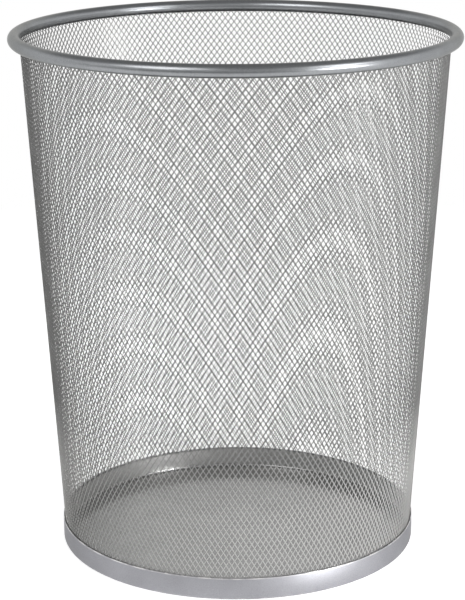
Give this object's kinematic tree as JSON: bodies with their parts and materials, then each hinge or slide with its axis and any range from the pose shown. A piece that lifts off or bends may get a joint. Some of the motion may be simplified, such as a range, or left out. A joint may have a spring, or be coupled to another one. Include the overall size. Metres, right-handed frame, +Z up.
{
  "type": "mesh wastebasket",
  "caption": "Round tapered wastebasket of silver-painted expanded metal, with a rolled tube rim, a flat pressed floor and a plain foot band.",
  "frame": {"origin": "centre of the underside of the floor, where the basket stands", "axes": "+Z up along the basket's turning axis, towards the open rim"},
  "size_m": [0.295, 0.295, 0.348],
  "materials": {
    "pan_paint": "glossy silver paint on pressed steel sheet",
    "band_paint": "satin silver paint on steel strip",
    "mesh_paint": "satin silver paint on expanded metal strands",
    "rim_paint": "semi-gloss silver paint on steel tube"
  },
  "bodies": {
    "root": {"base_pan": "pan_paint", "base_band": "band_paint", "mesh_wall": "mesh_paint", "rim_tube": "rim_paint"}
  },
  "joints": []
}
